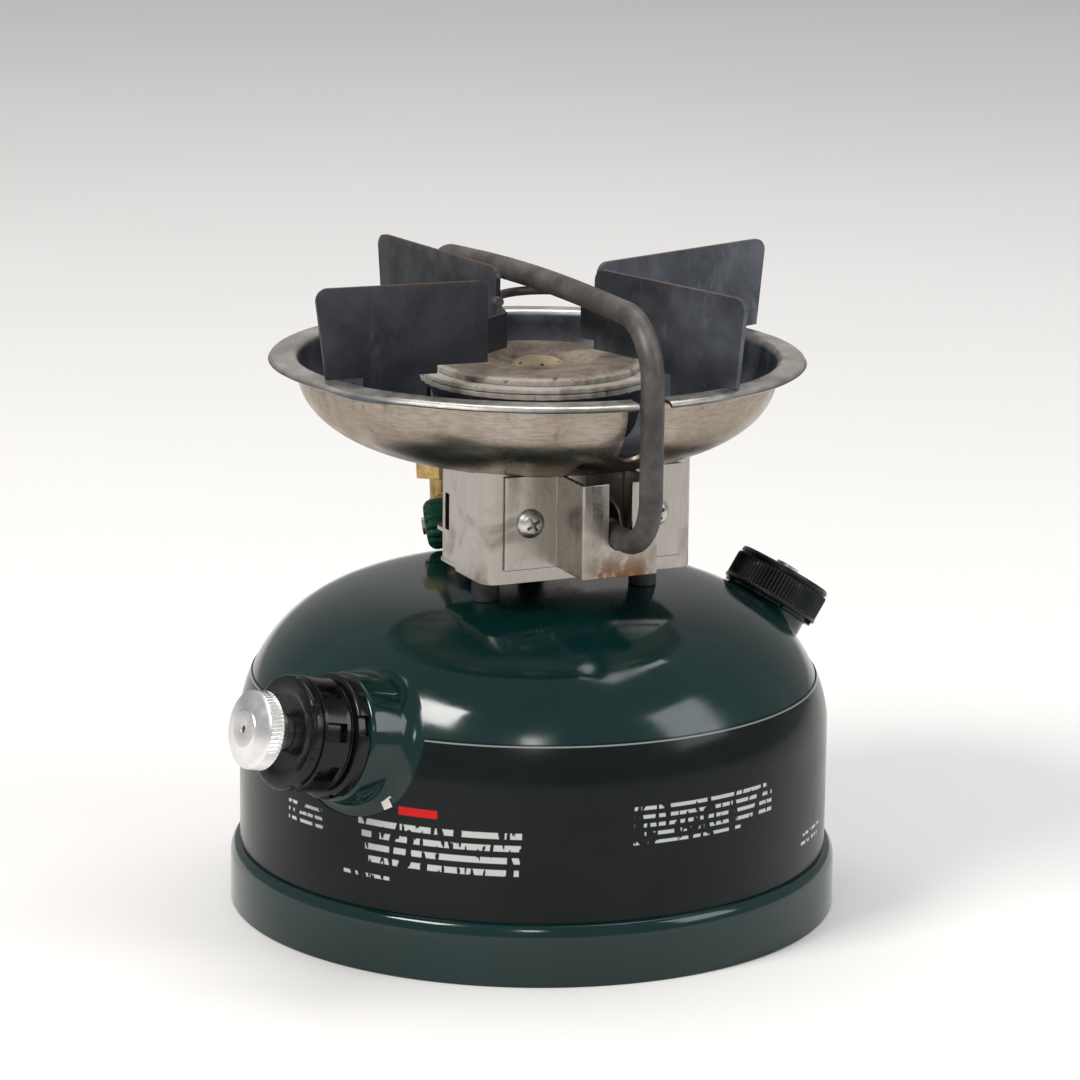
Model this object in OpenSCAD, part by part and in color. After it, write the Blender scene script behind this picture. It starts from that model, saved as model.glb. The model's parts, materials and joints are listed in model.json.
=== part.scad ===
// Liquid fuel camp stove: a domed tank with a hand pump, a rear valve, a generator tube that arcs
// over the burner, a drip pan and two bent pot supports. Millimetres, +Z up. The origin is the
// centre of the base ring on the ground. The generator tube lies in the plane x = 0.

/* [Tank] */
// Outer radius of the tank wall
tank_r = 72.4; // [70:0.2:74]
// Wall thickness of the tank
tank_wall = 1.2; // [0.8:0.1:1.6]
// Height where the dome starts
dome_base_z = 46; // [44:0.5:48]
// Rise of the dome above its start
dome_rise = 35.5; // [34:0.5:36]
// Outer radius of the base ring
base_r = 75; // [75:0.1:76]
// Height of the base ring
base_h = 15.1; // [14:0.1:16]

/* [Label wrap] */
// Height of the top edge of the label wrap
label_top_z = 57.5; // [54:0.5:59]
// Thickness of the label wrap
label_t = 0.25; // [0.2:0.05:0.3]

/* [Pump] */
// Plan angle of the pump axis
pump_plan = 189.8; // [186:0.2:194]
// Upward tilt of the pump axis
pump_tilt = 12.5; // [8:0.5:15]
// Radius of the pump thumb knob
pump_knob_r = 9.3; // [8.5:0.1:10]

/* [Filler] */
// Outward tilt of the filler axis from vertical
filler_tilt = 32.6; // [30:0.2:36]
// Radius of the filler cap
filler_r = 12.6; // [12:0.1:13]

/* [Pan] */
// Outer radius of the pan rim
pan_rim_r = 65.7; // [64:0.1:67]
// Radius of the pan bowl
pan_bowl_r = 58.8; // [57:0.1:60]
// Height of the top of the pan rim
pan_rim_z = 136.9; // [135:0.1:139]
// Depth of the pan bowl below its rim
pan_depth = 25.4; // [24:0.2:26]
// Sheet thickness of the pan
pan_t = 0.8; // [0.6:0.1:1]

/* [Burner box] */
// Width of the burner box
box_w = 55.4; // [54:0.2:57]
// Distance of the box front from the tank axis
box_front = 31.4; // [30:0.2:33]
// Height of the bottom of the box
box_z = 88; // [87:0.5:90]
// Sheet thickness of the box
box_t = 1.1; // [0.9:0.1:1.3]
// Distance of the bracket crown from the tank axis
crown_y = 47.5; // [46:0.5:49]

/* [Generator] */
// Outer radius of the generator tube
gen_r = 2.8; // [2.6:0.1:3]
// Inner radius of the generator tube
gen_bore_r = 2; // [1.6:0.1:2.2]

/* [Pot supports] */
// Height of the top edges of the pot supports
support_top_z = 158.6; // [158.5:0.1:160]
// Sheet thickness of the pot supports
support_t = 1.2; // [1:0.1:1.5]

/* [Hidden] */
$fn = 96;
fit = 0.06; // radial running clearance
dome_steps = 16;
dome_power_r = 0.5;
dome_power_z = 1.176;

// Dome profile at angle t, from the wall (0) to the apex (90)
function dome_pt(t, grow = 0) = [
    (tank_r + grow) * pow(cos(t), dome_power_r),
    dome_base_z + (dome_rise + grow) * pow(sin(t), dome_power_z)
];
function dome_arc(grow = 0, last = 90) = [
    for (i = [0:dome_steps]) dome_pt(last * i / dome_steps, grow)
];
function dome_angle_at(z) = asin(pow((z - dome_base_z) / dome_rise, 1 / dome_power_z));

// Outside of the pan bowl at angle t, from the rim (0) to the centre (90)
bowl_top_z = pan_rim_z - pan_t;
bowl_power = 0.8;
function bowl_pt(t, inset = 0) = [
    (pan_bowl_r - inset) * pow(cos(t), bowl_power),
    bowl_top_z - (pan_depth - inset) * pow(sin(t), bowl_power)
];
bowl_steps = 14;

// Pump frame: a point of the pump axis on the tank wall; local +Z points out along the axis
pump_base = [-63.7, -32.5, 55.2];
collar_r = 15.4;
collar_bore_r = 12.5;
collar_top = 3;
pump_cap_front = 18;
pump_knob_back = 19.6;
knurl_z0 = 23.4;
knurl_z1 = 26.8;
pump_knob_front = 28.7;
barrel_r = 10;
barrel_end = -76;
cup_z = -70; // inner end of the plunger tube
tube_top = 24.6;
rod_r = 4;
stem_r = 1.6;

// Filler frame: a point of the filler axis on the dome; local +Z points out
filler_base = [64, 0, 67];
neck_r = 10.6;
neck_top = 4.2;
cap_bottom = 1.4;
cap_top = 11.1;

// Rear valve
valve_y = 38;
valve_z = 86.4;
outlet_y = 57;
outlet_lean = 6;
knob_z = 87.4;
knob_plan = 155;
knob_tilt = 10;
knob_r = 6.4;
valve_r = 4.6;
valve_stem_r = 1.2;

// Generator tube route from its nut: [straight length, turn, bend radius]
gen_start = 6.4;
gen_route = [[46.4, -92, 11], [12, -5, 800], [18.5, -89, 15], [26.6, -90, 12.5], [9.8, 0, 0]];

// Box
bracket_screw_x = 16.5;
bracket_screw_z = 102.6;
standoff_places = [[-21, -17], [21, -17], [-8, 20], [8, 20]];
standoff_r = 3.4;
screw_r = 1.5;

// Burner
mix_r = 8;
mix_wall = 1;
mix_z = 101;
burner_r = 28.6;
rings_z0 = 130.7;
cap_z0 = 133.4;
cap_z1 = 135.8;
cap_r = 25.2;

// Pot supports: plan places of the outer and the inner end of each arm, with the bend between
left_arms = [[-63, -12], [-20.5, -15.5], [-13.4, -10.3], [-11, -0.8], [-17.6, 57]];
right_arms = [[25, -61], [10.8, -10], [9, -6.3], [14.4, -3.4], [69.4, 15.4]];
arm_z0 = 136.9;
arm_corner = 3;
arm_lean = 2.4; // how far an arm's outer end leans out
arm_step = 30; // distance from the outer end where the lower edge steps up
arm_step_h = 2;
foot_from = 12; // distances of the foot from the outer end
foot_to = 25;
foot_z0 = 112;
bridge_t = 1; // the bends are drawn a little thinner than the flat arms
bridge_z0 = 141;
bridge_z1 = 149.5;
wire_r = 1.1;

module pump_frame() {
    translate(pump_base) rotate([0, 0, pump_plan]) rotate([0, 90 - pump_tilt, 0]) children();
}

module filler_frame() {
    translate(filler_base) rotate([0, filler_tilt, 0]) children();
}

module knob_frame() {
    translate([0, valve_y, knob_z]) rotate([0, 0, knob_plan]) rotate([0, 90 + knob_tilt, 0])
        children();
}

module outlet_frame() {
    translate([0, outlet_y - 0.7, valve_z + 1.6]) rotate([-outlet_lean, 0, 0]) children();
}

// A tube between two heights on the local Z axis
module ring(z0, z1, r_out, r_in) {
    translate([0, 0, z0]) difference() {
        cylinder(h = z1 - z0, r = r_out);
        translate([0, 0, -1]) cylinder(h = z1 - z0 + 2, r = r_in);
    }
}

// A plain disc or rod between two heights on the local Z axis
module rod(z0, z1, r) {
    translate([0, 0, z0]) cylinder(h = z1 - z0, r = r);
}

// Outline with small teeth around a circle
module toothed(r, teeth, depth) {
    polygon([for (i = [0:2 * teeth - 1])
        let (a = 180 * i / teeth, q = r - (i % 2) * depth) [q * cos(a), q * sin(a)]]);
}

module hexagon(across_flats) {
    circle(r = across_flats / 2 / cos(30), $fn = 6);
}

module rounded_box_2d(x0, y0, x1, y1, r) {
    translate([x0 + r, y0]) square([x1 - x0 - 2 * r, y1 - y0]);
    translate([x0, y0 + r]) square([x1 - x0, y1 - y0 - 2 * r]);
    for (x = [x0 + r, x1 - r], y = [y0 + r, y1 - r]) translate([x, y]) circle(r = r);
}

// Sheet metal of thickness t that follows a plan outline
module sheet_2d(points, t) {
    for (i = [0:len(points) - 2]) {
        step = points[i + 1] - points[i];
        translate(points[i]) rotate(atan2(step[1], step[0])) translate([0, -t / 2])
            square([norm(step), t]);
    }
    for (p = points) translate(p) circle(d = t, $fn = 24);
}

// Centreline of a bent tube in the plane x = 0, as [y, z, heading]. The heading is measured
// from +Z towards +Y. Each step is [straight length, turn, bend radius].
function walk(steps, y, z, heading, i = 0) =
    i >= len(steps) ? [] :
    let (
        turn = steps[i][1],
        bend = steps[i][2],
        side = sign(turn),
        y1 = y + steps[i][0] * sin(heading),
        z1 = z + steps[i][0] * cos(heading),
        centre = [y1 + side * bend * cos(heading), z1 - side * bend * sin(heading)],
        count = max(6, ceil(abs(turn) / 8)),
        curve = [for (k = [1:count]) let (a = heading + turn * k / count)
            [centre[0] - side * bend * cos(a), centre[1] + side * bend * sin(a), a]],
        last = curve[count - 1]
    )
    concat([[y1, z1, heading]], turn == 0 ? [] : curve,
           walk(steps, turn == 0 ? y1 : last[0], turn == 0 ? z1 : last[1], heading + turn, i + 1));

// Hollow tube swept along such a centreline
module swept_tube(line, r_out, r_in, sides) {
    rings = len(line);
    radii = [r_out, r_in];
    points = [for (r = radii, c = line, k = [0:sides - 1]) let (a = 360 * k / sides)
        [r * cos(a), c[0] + r * sin(a) * cos(c[2]), c[1] - r * sin(a) * sin(c[2])]];
    function at(wall, ring, k) = (wall * rings + ring) * sides + k % sides;
    skin = [for (n = [0:rings - 2], k = [0:sides - 1])
        [at(0, n, k), at(0, n + 1, k), at(0, n + 1, k + 1), at(0, n, k + 1)]];
    bore = [for (n = [0:rings - 2], k = [0:sides - 1])
        [at(1, n, k), at(1, n, k + 1), at(1, n + 1, k + 1), at(1, n + 1, k)]];
    ends = [for (k = [0:sides - 1]) each [
        [at(0, 0, k), at(0, 0, k + 1), at(1, 0, k + 1), at(1, 0, k)],
        [at(0, rings - 1, k), at(1, rings - 1, k), at(1, rings - 1, k + 1), at(0, rings - 1, k + 1)]
    ]];
    polyhedron(points = points, faces = concat(skin, bore, ends), convexity = 6);
}

module tank_profile(grow = 0) {
    polygon(concat([[0, 4], [tank_r + grow, 4]], dome_arc(grow)));
}

module tank_solid(grow = 0) {
    rotate_extrude() tank_profile(grow);
}

module fuel_tank() {
    color([0.03, 0.2, 0.18]) difference() {
        rotate_extrude() difference() {
            tank_profile();
            translate([0, -1]) polygon(concat([[0, 4], [tank_r - tank_wall, 4]],
                                              dome_arc(-tank_wall)));
            square([tank_r - tank_wall, 12]);
        }
        pump_frame() rod(-30, 20, collar_r);
        filler_frame() rod(-12, 20, neck_r);
        translate([0, valve_y, 0]) rod(60, 100, valve_r);
    }
}

module tank_bottom() {
    color([0.04, 0.16, 0.14]) rotate_extrude() polygon([
        [0, 9], [55, 9], [62, 5.5], [tank_r - tank_wall, 5.5], [tank_r - tank_wall, 8],
        [63, 8], [56, 10.2], [0, 10.2]
    ]);
}

module base_ring() {
    color([0.03, 0.2, 0.18]) rotate_extrude() polygon([
        [tank_r, base_h], [tank_r, 6], [base_r - 1.4, 5], [base_r - 1.4, 0.8], [base_r - 1, 0],
        [base_r, 0], [base_r, base_h - 3.4], [base_r - 0.3, base_h - 1.9],
        [base_r - 1, base_h - 0.7], [base_r - 2, base_h - 0.1]
    ]);
}

module label_wrap() {
    last = dome_angle_at(label_top_z);
    color([0.03, 0.05, 0.05]) difference() {
        rotate_extrude() polygon(concat(
            [[tank_r, base_h], [tank_r + label_t, base_h]],
            dome_arc(label_t, last),
            [for (i = [dome_steps:-1:0]) dome_pt(last * i / dome_steps)]
        ));
        pump_frame() rod(-30, 30, collar_r + 0.4);
    }
}

module pump_collar() {
    color([0.03, 0.2, 0.18]) pump_frame() ring(-8, collar_top, collar_r, collar_bore_r);
}

module pump_barrel() {
    color("silver") pump_frame() {
        ring(barrel_end, 1, barrel_r + 0.8, barrel_r);
        ring(1, collar_top, collar_bore_r, barrel_r);
    }
}

module pump_cap() {
    color([0.06, 0.06, 0.07]) pump_frame() difference() {
        union() {
            rod(collar_top, 6.2, collar_r - 0.5);
            rod(6.2, 8, 12.6);
            rod(8, pump_cap_front, 13.6);
        }
        rod(2, pump_cap_front - 3, 9.4);
        rod(0, 30, rod_r + fit);
        for (a = [0:45:315]) rotate(a) translate([13.6, 0, 11.5])
            cube([3, 3.4, 6], center = true);
        for (a = [22.5:90:300]) rotate(a) translate([collar_r, 0, 5.2]) cube([4, 7, 4], center = true);
        ring(pump_cap_front - 1.6, pump_cap_front - 0.8, 15, 12.9);
    }
}

module check_valve() {
    color("goldenrod") pump_frame() difference() {
        rod(barrel_end - 8, barrel_end, 6);
        rod(barrel_end - 6, barrel_end + 1, 2.4);
    }
}

module check_ball() {
    color("gray") pump_frame() translate([0, 0, barrel_end - 4]) sphere(r = 1.6, $fn = 48);
}

module air_stem() {
    color("silver") pump_frame() rod(barrel_end - 1.6, pump_knob_front - 1.2, stem_r);
}

module pump_knob() {
    color([0.75, 0.75, 0.74]) pump_frame() difference() {
        union() {
            rod(pump_knob_back, knurl_z0, 5.4);
            translate([0, 0, knurl_z0]) linear_extrude(knurl_z1 - knurl_z0)
                toothed(pump_knob_r, 48, 0.35);
            translate([0, 0, knurl_z1])
                cylinder(h = pump_knob_front - knurl_z1, r1 = pump_knob_r - 0.4, r2 = 4.6);
        }
        rod(10, tube_top, rod_r);
        rod(24, pump_knob_front - 1, stem_r + fit);
        rod(24, pump_knob_front + 1, 0.8);
    }
}

module plunger_tube() {
    color("silver") pump_frame() ring(cup_z, tube_top, rod_r, stem_r + fit);
}

module pump_cup() {
    color([0.35, 0.2, 0.1]) pump_frame() difference() {
        rod(cup_z - 2, cup_z + 5, barrel_r - fit);
        rod(cup_z - 3, cup_z + 10, rod_r);
        rod(cup_z - 3, cup_z + 2, barrel_r - 1.8);
    }
}

module cup_retainer() {
    color("gray") pump_frame() ring(cup_z + 1, cup_z + 2, 7, rod_r);
}

module filler_neck() {
    color([0.03, 0.2, 0.18]) filler_frame() ring(-9, neck_top, neck_r, neck_r - 1.6);
}

module filler_gasket() {
    color([0.08, 0.08, 0.08]) filler_frame() ring(neck_top, neck_top + 1.2, neck_r, 6.5);
}

module filler_cap() {
    color([0.04, 0.08, 0.07]) filler_frame() difference() {
        union() {
            rod(cap_bottom, cap_bottom + 1.6, filler_r + 0.3);
            translate([0, 0, cap_bottom + 1.6]) linear_extrude(cap_top - cap_bottom - 3.2)
                toothed(filler_r, 64, 0.4);
            translate([0, 0, cap_top - 1.6]) cylinder(h = 1.6, r1 = filler_r - 0.2,
                                                      r2 = filler_r - 1);
        }
        rod(0, neck_top + 1.2 + 0.3, neck_r + 0.35);
        rod(0, cap_top - 1.8, 6.2);
        rod(cap_top - 2, cap_top + 1, 1.6);
    }
}

module filler_insert() {
    color("silver") filler_frame() difference() {
        rod(-7, 8.6, 6);
        rod(-8, 3, 4);
        for (a = [0:90:270]) rotate(a) translate([5, 0, -3]) rotate([0, 90, 0])
            cylinder(h = 6, r = 1, center = true);
        rod(5, 9, 1.6);
    }
}

module filler_screw() {
    color("silver") filler_frame() {
        rod(5.2, cap_top, 1.6);
        difference() {
            rod(cap_top, cap_top + 1.1, 3);
            translate([0, 0, cap_top + 1.3]) cube([6.5, 0.8, 1.4], center = true);
        }
    }
}

module valve_body() {
    color([0.72, 0.56, 0.24]) difference() {
        union() {
            translate([0, valve_y, 0]) rod(74, valve_z + 5.4, valve_r);
            translate([0, valve_y, valve_z + 1.6]) rotate([-90, 0, 0])
                cylinder(h = outlet_y - 0.7 - valve_y, r = 3.4);
            outlet_frame() {
                sphere(r = 3.6, $fn = 64);
                rod(0, 6.4, 3.4);
            }
        }
        knob_frame() rod(-2.4, 8, 1.9);
        translate([0, valve_y, 0]) rod(73, valve_z, 2);
    }
}

module fuel_pickup_tube() {
    color("silver") translate([0, valve_y, 0]) ring(13, 80, 2, 1.2);
}

module packing_nut() {
    color([0.72, 0.56, 0.24]) knob_frame() difference() {
        union() {
            rod(0.5, 5.6, 1.9);
            translate([0, 0, 5.6]) linear_extrude(2) hexagon(6.4);
        }
        rod(-1, 9, valve_stem_r + fit);
    }
}

module valve_stem() {
    color("silver") knob_frame() rod(-1.8, 10.8, valve_stem_r);
}

module control_knob() {
    color([0.05, 0.3, 0.2]) knob_frame() difference() {
        union() {
            translate([0, 0, 6.4]) linear_extrude(4.4) toothed(knob_r, 16, 0.5);
            translate([0, 0, 10.8]) cylinder(h = 1.2, r1 = knob_r - 0.6, r2 = knob_r - 1.6);
        }
        rod(5, 8.8, 4.3);
        rod(5, 13, valve_stem_r);
    }
}

module knob_screw() {
    color("silver") knob_frame() {
        rod(10.8, 12, valve_stem_r);
        rod(12, 12.8, 2.2);
    }
}

module generator_nut() {
    color([0.76, 0.6, 0.28]) outlet_frame() difference() {
        union() {
            translate([0, 0, 6.4]) linear_extrude(7) hexagon(12.6);
            translate([0, 0, 13.4]) cylinder(h = 1.6, r1 = 5.6, r2 = 3.8);
        }
        rod(6, 16, gen_r);
    }
}

module generator_tube() {
    start = [outlet_y - 0.7 + gen_start * sin(outlet_lean),
             valve_z + 1.6 + gen_start * cos(outlet_lean)];
    line = concat([[start[0], start[1], outlet_lean]],
                  walk(gen_route, start[0], start[1], outlet_lean));
    color([0.2, 0.18, 0.17]) swept_tube(line, gen_r, gen_bore_r, 20);
}

module generator_jet() {
    color([0.72, 0.56, 0.24]) translate([0, -41, mix_z]) rotate([-90, 0, 0]) difference() {
        union() {
            rod(0, 1.4, 3.4);
            translate([0, 0, 1.4]) cylinder(h = 3.6, r1 = 2.6, r2 = 1.2);
        }
        rod(-1, 6, 0.4);
    }
}

// Everything above the underside of the pan bowl, or above its inside with an inset
module bowl_solid(inset = 0) {
    rotate_extrude() polygon(concat(
        [[0, 200], [pan_bowl_r + 20, 200], [pan_bowl_r + 20, bowl_top_z]],
        [for (i = [0:bowl_steps]) bowl_pt(90 * i / bowl_steps, inset)]
    ));
}

module screw_holes(y0, y1) {
    for (x = [-bracket_screw_x, bracket_screw_x]) translate([x, y0, bracket_screw_z])
        rotate([-90, 0, 0]) cylinder(h = y1 - y0, r = screw_r);
}

module burner_box() {
    half = box_w / 2;
    color([0.62, 0.6, 0.56]) difference() {
        translate([0, 0, box_z]) linear_extrude(34) difference() {
            rounded_box_2d(-half, -box_front, half, 30, 4);
            rounded_box_2d(-half + box_t, -box_front + box_t, half - box_t, 30, 4 - box_t);
            translate([-50, -14]) square([100, 60]);
        }
        bowl_solid();
        screw_holes(-box_front - 2, -box_front + 2);
        translate([0, -box_front - 5, mix_z]) rotate([-90, 0, 0]) cylinder(h = 10, r = mix_r);
    }
}

module rear_bracket() {
    outer = box_w / 2 - box_t - 0.5;
    color([0.6, 0.59, 0.56]) difference() {
        translate([0, 0, box_z + 1]) linear_extrude(33) sheet_2d([
            [-outer, -24], [-outer, -4], [-12, -4], [-12, 27], [12, 27], [12, -4], [outer, -4],
            [outer, -24]
        ], 1);
        bowl_solid();
        for (x = [-outer, outer]) translate([x, -6.5, 101]) cube([4, 2.4, 9], center = true);
    }
}

module box_floor() {
    color([0.55, 0.54, 0.52]) translate([0, 0, box_z]) linear_extrude(1) difference() {
        union() {
            rounded_box_2d(-box_w / 2 + box_t, -box_front + box_t, box_w / 2 - box_t, -1, 2.5);
            rounded_box_2d(-14, -10, 14, 30, 2.5);
        }
        for (p = standoff_places) translate(p) circle(r = screw_r);
    }
}

module box_standoffs() {
    color([0.12, 0.13, 0.13]) difference() {
        for (p = standoff_places) translate(p) rod(70, box_z, standoff_r);
        tank_solid();
        for (p = standoff_places) translate(p) rod(84, box_z + 1, screw_r);
    }
}

module floor_screws() {
    color("silver") for (p = standoff_places) translate(p) {
        rod(84, box_z + 1, screw_r);
        rod(box_z + 1, box_z + 2.6, 2 * screw_r);
    }
}

module generator_bracket() {
    flange_y = -box_front - 0.5;
    crown = -crown_y + 0.5;
    color([0.66, 0.6, 0.52]) difference() {
        translate([0, 0, 91.4]) linear_extrude(22.8) sheet_2d([
            [-22.4, flange_y], [-9, flange_y], [-9.3, crown], [9.3, crown], [9, flange_y],
            [23, flange_y]
        ], 1);
        translate([-gen_r - 0.2, -60, mix_z]) cube([2 * gen_r + 0.4, 20, 30]);
        translate([0, -60, mix_z]) rotate([-90, 0, 0]) cylinder(h = 20, r = gen_r + 0.2);
        bowl_solid();
        screw_holes(-box_front - 3, -box_front + 2);
    }
}

module bracket_screws() {
    color("silver") for (x = [-bracket_screw_x, bracket_screw_x])
        translate([x, 0, bracket_screw_z]) rotate([-90, 0, 0]) {
        rod(-box_front - 1, -box_front + 3, screw_r);
        difference() {
            union() {
                rod(-box_front - 2, -box_front - 1, 3.5);
                translate([0, 0, -box_front - 3]) cylinder(h = 1, r1 = 2.2, r2 = 3.5);
            }
            for (a = [45, 135]) rotate(a) translate([0, 0, -box_front - 3])
                cube([3.6, 0.8, 2], center = true);
        }
    }
}

module mixing_tube() {
    color([0.5, 0.5, 0.48]) difference() {
        union() {
            translate([0, -box_front - 1.4, mix_z]) rotate([-90, 0, 0])
                cylinder(h = box_front + 1.4, r = mix_r);
            translate([0, 0, mix_z]) sphere(r = mix_r);
            rod(mix_z, 113, mix_r);
        }
        translate([0, -box_front - 3, mix_z]) rotate([-90, 0, 0])
            cylinder(h = box_front + 3, r = mix_r - mix_wall);
        translate([0, 0, mix_z]) sphere(r = mix_r - mix_wall);
        rod(mix_z, 114, mix_r - mix_wall);
    }
}

module drip_pan() {
    color([0.6, 0.57, 0.52]) difference() {
        rotate_extrude() polygon(concat(
            [[pan_bowl_r - pan_t, pan_rim_z], [pan_rim_r - 0.3, pan_rim_z],
             [pan_rim_r, pan_rim_z - 0.4], [pan_rim_r, pan_rim_z - 1.3],
             [pan_rim_r - 0.7, pan_rim_z - 1.3], [pan_rim_r - 0.8, bowl_top_z]],
            [for (i = [0:bowl_steps]) bowl_pt(90 * i / bowl_steps)],
            [for (i = [bowl_steps:-1:0]) bowl_pt(90 * i / bowl_steps, pan_t)]
        ));
        rod(100, 120, mix_r);
        for (s = [-1, 1]) translate([-3.9, s * 63 - 9, 120]) cube([7.8, 18, 30]);
    }
}

module burner_bowl() {
    color([0.2, 0.2, 0.22]) rotate_extrude() polygon([
        [mix_r, 112], [13.5, 112], [19.5, 114.4], [24.2, 119], [26, rings_z0 - 0.9],
        [burner_r - 0.6, rings_z0 - 0.9], [burner_r - 0.6, rings_z0], [25.1, rings_z0],
        [23.4, 119.8], [19, 115.2], [13.3, 112.9], [mix_r, 112.9]
    ]);
}

module burner_rings() {
    color([0.42, 0.37, 0.3]) rotate_extrude() polygon([
        [18.5, rings_z0], [burner_r, rings_z0], [burner_r, rings_z0 + 1],
        [burner_r - 0.8, rings_z0 + 1.2], [burner_r - 0.8, rings_z0 + 1.5],
        [burner_r, rings_z0 + 1.7], [burner_r, cap_z0 - 0.2], [burner_r - 1, cap_z0],
        [18.5, cap_z0]
    ]);
}

module burner_cap() {
    color([0.55, 0.47, 0.36]) rotate_extrude() polygon([
        [0, cap_z0 - 0.6], [17.2, cap_z0 - 0.6], [17.8, cap_z0], [cap_r, cap_z0],
        [cap_r, cap_z1 - 0.5], [cap_r - 0.5, cap_z1], [15, cap_z1], [9, cap_z1 - 1.7],
        [6.2, cap_z1 - 1.7], [5.4, cap_z1 - 0.8], [3.4, cap_z1 - 0.1], [0, cap_z1 + 0.1]
    ]);
}

// Places children so that local X runs from one plan point to another
module along(p, q) {
    step = q - p;
    translate([p[0], p[1], 0]) rotate([0, 0, atan2(step[1], step[0])]) children();
}

// An arm from its outer end p: an upright plate with rounded top corners, a lower edge that
// steps up over the burner and a foot that stands on the inside of the bowl
module arm(p, q) {
    length = norm(q - p);
    top = support_top_z;
    along(p, q) translate([0, support_t / 2, 0]) rotate([90, 0, 0]) linear_extrude(support_t) {
        polygon([
            [arm_lean, arm_z0], [foot_from, arm_z0], [foot_from, foot_z0], [foot_to, foot_z0],
            [foot_to, arm_z0], [arm_step, arm_z0], [arm_step, arm_z0 + arm_step_h],
            [length, arm_z0 + arm_step_h], [length, top - arm_corner],
            [length - arm_corner, top], [arm_corner, top], [0, top - arm_corner]
        ]);
        for (x = [arm_corner, length - arm_corner]) translate([x, top - arm_corner])
            circle(r = arm_corner);
    }
}

// Two arms joined by a bent bridge; the feet end on the inside of the bowl
module pot_support(ends) {
    difference() {
        union() {
            arm(ends[0], ends[1]);
            arm(ends[4], ends[3]);
            translate([0, 0, bridge_z0]) linear_extrude(bridge_z1 - bridge_z0)
                sheet_2d([ends[1], ends[2], ends[3]], bridge_t);
        }
        difference() {
            translate([0, 0, 60]) cylinder(h = 90, r = 85);
            bowl_solid(pan_t);
        }
    }
}

module left_pot_support() {
    color([0.13, 0.14, 0.16]) pot_support(left_arms);
}

module right_pot_support() {
    color([0.22, 0.24, 0.26]) pot_support(right_arms);
}

module support_wire() {
    color([0.4, 0.38, 0.36]) translate([0.9, -3.45, bridge_z1 + wire_r]) rotate([0, 0, -2])
        rotate_extrude(angle = 180) translate([12.5, 0]) circle(r = wire_r, $fn = 32);
}

fuel_tank();
tank_bottom();
base_ring();
label_wrap();
pump_collar();
pump_barrel();
pump_cap();
check_valve();
check_ball();
air_stem();
pump_knob();
plunger_tube();
pump_cup();
cup_retainer();
filler_neck();
filler_gasket();
filler_cap();
filler_insert();
filler_screw();
valve_body();
fuel_pickup_tube();
packing_nut();
valve_stem();
control_knob();
knob_screw();
generator_nut();
generator_tube();
generator_jet();
burner_box();
rear_bracket();
box_floor();
box_standoffs();
floor_screws();
generator_bracket();
bracket_screws();
mixing_tube();
drip_pan();
burner_bowl();
burner_rings();
burner_cap();
left_pot_support();
right_pot_support();
support_wire();
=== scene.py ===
"""Camp stove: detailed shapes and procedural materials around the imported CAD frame.

Shapes are drawn in millimetres in the CAD frame, and each mesh is scaled to metres as it is built.
"""
import json
import math

import bmesh
import bpy
from mathutils import Matrix, Vector, noise

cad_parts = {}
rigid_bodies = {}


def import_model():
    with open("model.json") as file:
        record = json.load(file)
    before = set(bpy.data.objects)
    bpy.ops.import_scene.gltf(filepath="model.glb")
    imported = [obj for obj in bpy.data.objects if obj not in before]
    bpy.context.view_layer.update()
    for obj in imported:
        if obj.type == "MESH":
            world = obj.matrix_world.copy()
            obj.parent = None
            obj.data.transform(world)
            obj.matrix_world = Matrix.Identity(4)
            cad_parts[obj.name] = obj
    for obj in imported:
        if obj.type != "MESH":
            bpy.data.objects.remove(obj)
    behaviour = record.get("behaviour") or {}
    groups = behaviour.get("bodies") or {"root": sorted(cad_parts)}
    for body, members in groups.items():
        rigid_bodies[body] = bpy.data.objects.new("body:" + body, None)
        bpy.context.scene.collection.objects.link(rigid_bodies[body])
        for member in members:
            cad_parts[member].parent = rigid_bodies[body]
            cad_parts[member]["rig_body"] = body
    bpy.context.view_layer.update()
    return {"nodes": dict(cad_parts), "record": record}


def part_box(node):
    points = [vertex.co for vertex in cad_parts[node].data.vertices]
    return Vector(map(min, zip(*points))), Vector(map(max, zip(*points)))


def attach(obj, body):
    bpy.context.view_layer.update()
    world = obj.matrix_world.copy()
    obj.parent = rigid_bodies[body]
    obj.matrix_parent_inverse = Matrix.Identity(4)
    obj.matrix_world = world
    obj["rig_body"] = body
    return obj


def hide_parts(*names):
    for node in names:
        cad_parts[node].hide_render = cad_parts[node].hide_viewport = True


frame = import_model()
NODES = frame["nodes"]
MM = 0.001


def extent(node):
    """Lowest and highest corner of a CAD node in millimetres."""
    low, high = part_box(node)
    return low / MM, high / MM


def extent_along(place, node):
    """Highest point of a CAD node along a frame's axis."""
    back = place.inverted()
    return max((back @ (v.co / MM)).z for v in NODES[node].data.vertices)


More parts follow.
